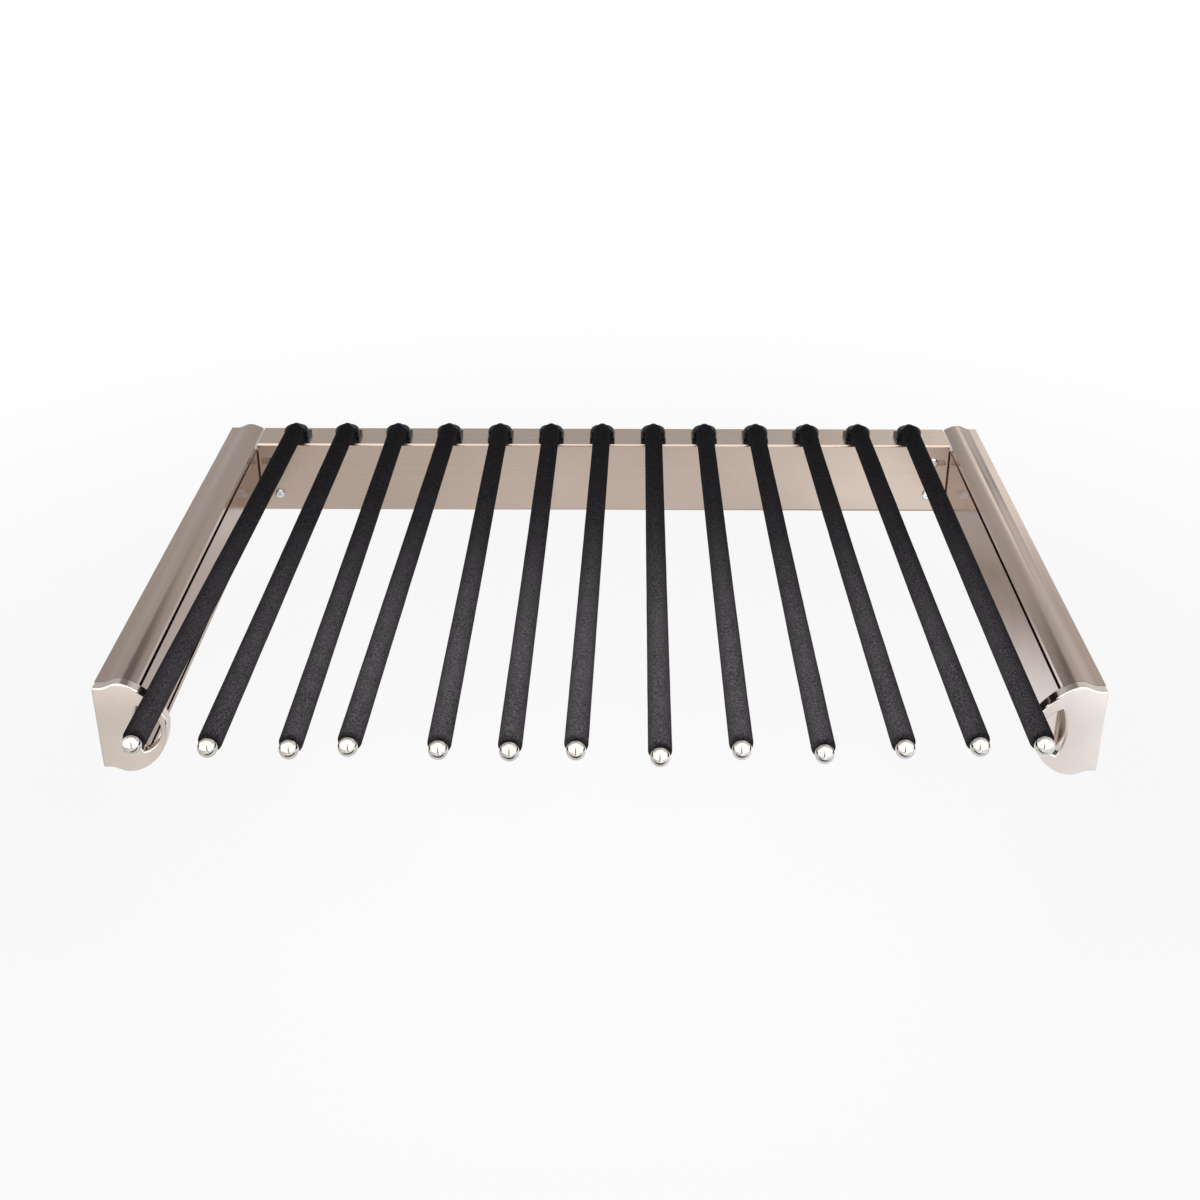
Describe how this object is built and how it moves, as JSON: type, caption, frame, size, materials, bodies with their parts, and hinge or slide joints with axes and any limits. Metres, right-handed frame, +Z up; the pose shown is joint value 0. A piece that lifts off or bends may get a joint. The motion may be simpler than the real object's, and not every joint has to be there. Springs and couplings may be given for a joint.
{
  "type": "pull-out trouser rack",
  "caption": "Side-mounted pull-out trouser rack: foam-sleeved arms on a folded back rail, carried by ball-bearing slides in wave-shaped metal housings with D-shaped finger pulls.",
  "frame": {"origin": "bottom centre of the bounding box, with the rack shut", "axes": "+X across the wardrobe section, to the right seen from the front; +Y to the back; +Z up. The rack pulls out along -Y."},
  "size_m": [0.756, 0.6224, 0.0979],
  "materials": {
    "housing_nickel": "satin nickel anodised, brushed lengthwise",
    "plate_nickel": "satin nickel plated",
    "rail_nickel": "satin nickel plated, brushed lengthwise",
    "cap_nickel": "smooth satin nickel plated casting",
    "tip_nickel": "satin nickel plated",
    "slide_steel": "zinc plated, rolled",
    "cage_steel": "bright rolled strip",
    "rod_steel": "drawn bar",
    "ball_steel": "polished bearing steel",
    "rivet_steel": "zinc plated",
    "screw_zinc": "bright zinc plated",
    "holder_black": "glossy black moulding",
    "sleeve_foam": "fine-grained black foam"
  },
  "bodies": {
    "housings": {"left_housing": "housing_nickel", "right_housing": "housing_nickel", "left_outer_member": "slide_steel", "right_outer_member": "slide_steel", "slide_rivets": "rivet_steel"},
    "left_outer_cage": {"left_outer_cage": "cage_steel", "left_outer_balls": "ball_steel"},
    "left_middle": {"left_middle_member": "slide_steel"},
    "left_inner_cage": {"left_inner_cage": "cage_steel", "left_inner_balls": "ball_steel"},
    "right_outer_cage": {"right_outer_cage": "cage_steel", "right_outer_balls": "ball_steel"},
    "right_middle": {"right_middle_member": "slide_steel"},
    "right_inner_cage": {"right_inner_cage": "cage_steel", "right_inner_balls": "ball_steel"},
    "rack": {"left_inner_member": "slide_steel", "left_side_plate": "plate_nickel", "left_end_cap": "cap_nickel", "right_inner_member": "slide_steel", "right_side_plate": "plate_nickel", "right_end_cap": "cap_nickel", "back_rail": "rail_nickel", "arm_rods": "rod_steel", "rod_tips": "tip_nickel", "arm_screws": "screw_zinc", "rail_screws": "screw_zinc", "cap_screws": "screw_zinc", "slide_nuts": "screw_zinc", "holder_01": "holder_black", "holder_02": "holder_black", "holder_03": "holder_black", "holder_04": "holder_black", "holder_05": "holder_black", "holder_06": "holder_black", "holder_07": "holder_black", "holder_08": "holder_black", "holder_09": "holder_black", "holder_10": "holder_black", "holder_11": "holder_black", "holder_12": "holder_black", "holder_13": "holder_black", "sleeve_01": "sleeve_foam", "sleeve_02": "sleeve_foam", "sleeve_03": "sleeve_foam", "sleeve_04": "sleeve_foam", "sleeve_05": "sleeve_foam", "sleeve_06": "sleeve_foam", "sleeve_07": "sleeve_foam", "sleeve_08": "sleeve_foam", "sleeve_09": "sleeve_foam", "sleeve_10": "sleeve_foam", "sleeve_11": "sleeve_foam", "sleeve_12": "sleeve_foam", "sleeve_13": "sleeve_foam"}
  },
  "joints": [
    {"name": "rack_slide", "type": "slide", "parent": "housings", "child": "rack", "axis": [0, -1, 0], "range_m": [0, 0.5]},
    {"name": "left_outer_cage_slide", "type": "slide", "parent": "housings", "child": "left_outer_cage", "axis": [0, -1, 0], "range_m": [0, 0.125]},
    {"name": "left_middle_slide", "type": "slide", "parent": "housings", "child": "left_middle", "axis": [0, -1, 0], "range_m": [0, 0.25]},
    {"name": "left_inner_cage_slide", "type": "slide", "parent": "housings", "child": "left_inner_cage", "axis": [0, -1, 0], "range_m": [0, 0.375]},
    {"name": "right_outer_cage_slide", "type": "slide", "parent": "housings", "child": "right_outer_cage", "axis": [0, -1, 0], "range_m": [0, 0.125]},
    {"name": "right_middle_slide", "type": "slide", "parent": "housings", "child": "right_middle", "axis": [0, -1, 0], "range_m": [0, 0.25]},
    {"name": "right_inner_cage_slide", "type": "slide", "parent": "housings", "child": "right_inner_cage", "axis": [0, -1, 0], "range_m": [0, 0.375]}
  ],
  "couplings": [
    {"joint": "left_outer_cage_slide", "follows": "rack_slide", "ratio": 0.25},
    {"joint": "left_middle_slide", "follows": "rack_slide", "ratio": 0.5},
    {"joint": "left_inner_cage_slide", "follows": "rack_slide", "ratio": 0.75},
    {"joint": "right_outer_cage_slide", "follows": "rack_slide", "ratio": 0.25},
    {"joint": "right_middle_slide", "follows": "rack_slide", "ratio": 0.5},
    {"joint": "right_inner_cage_slide", "follows": "rack_slide", "ratio": 0.75}
  ]
}
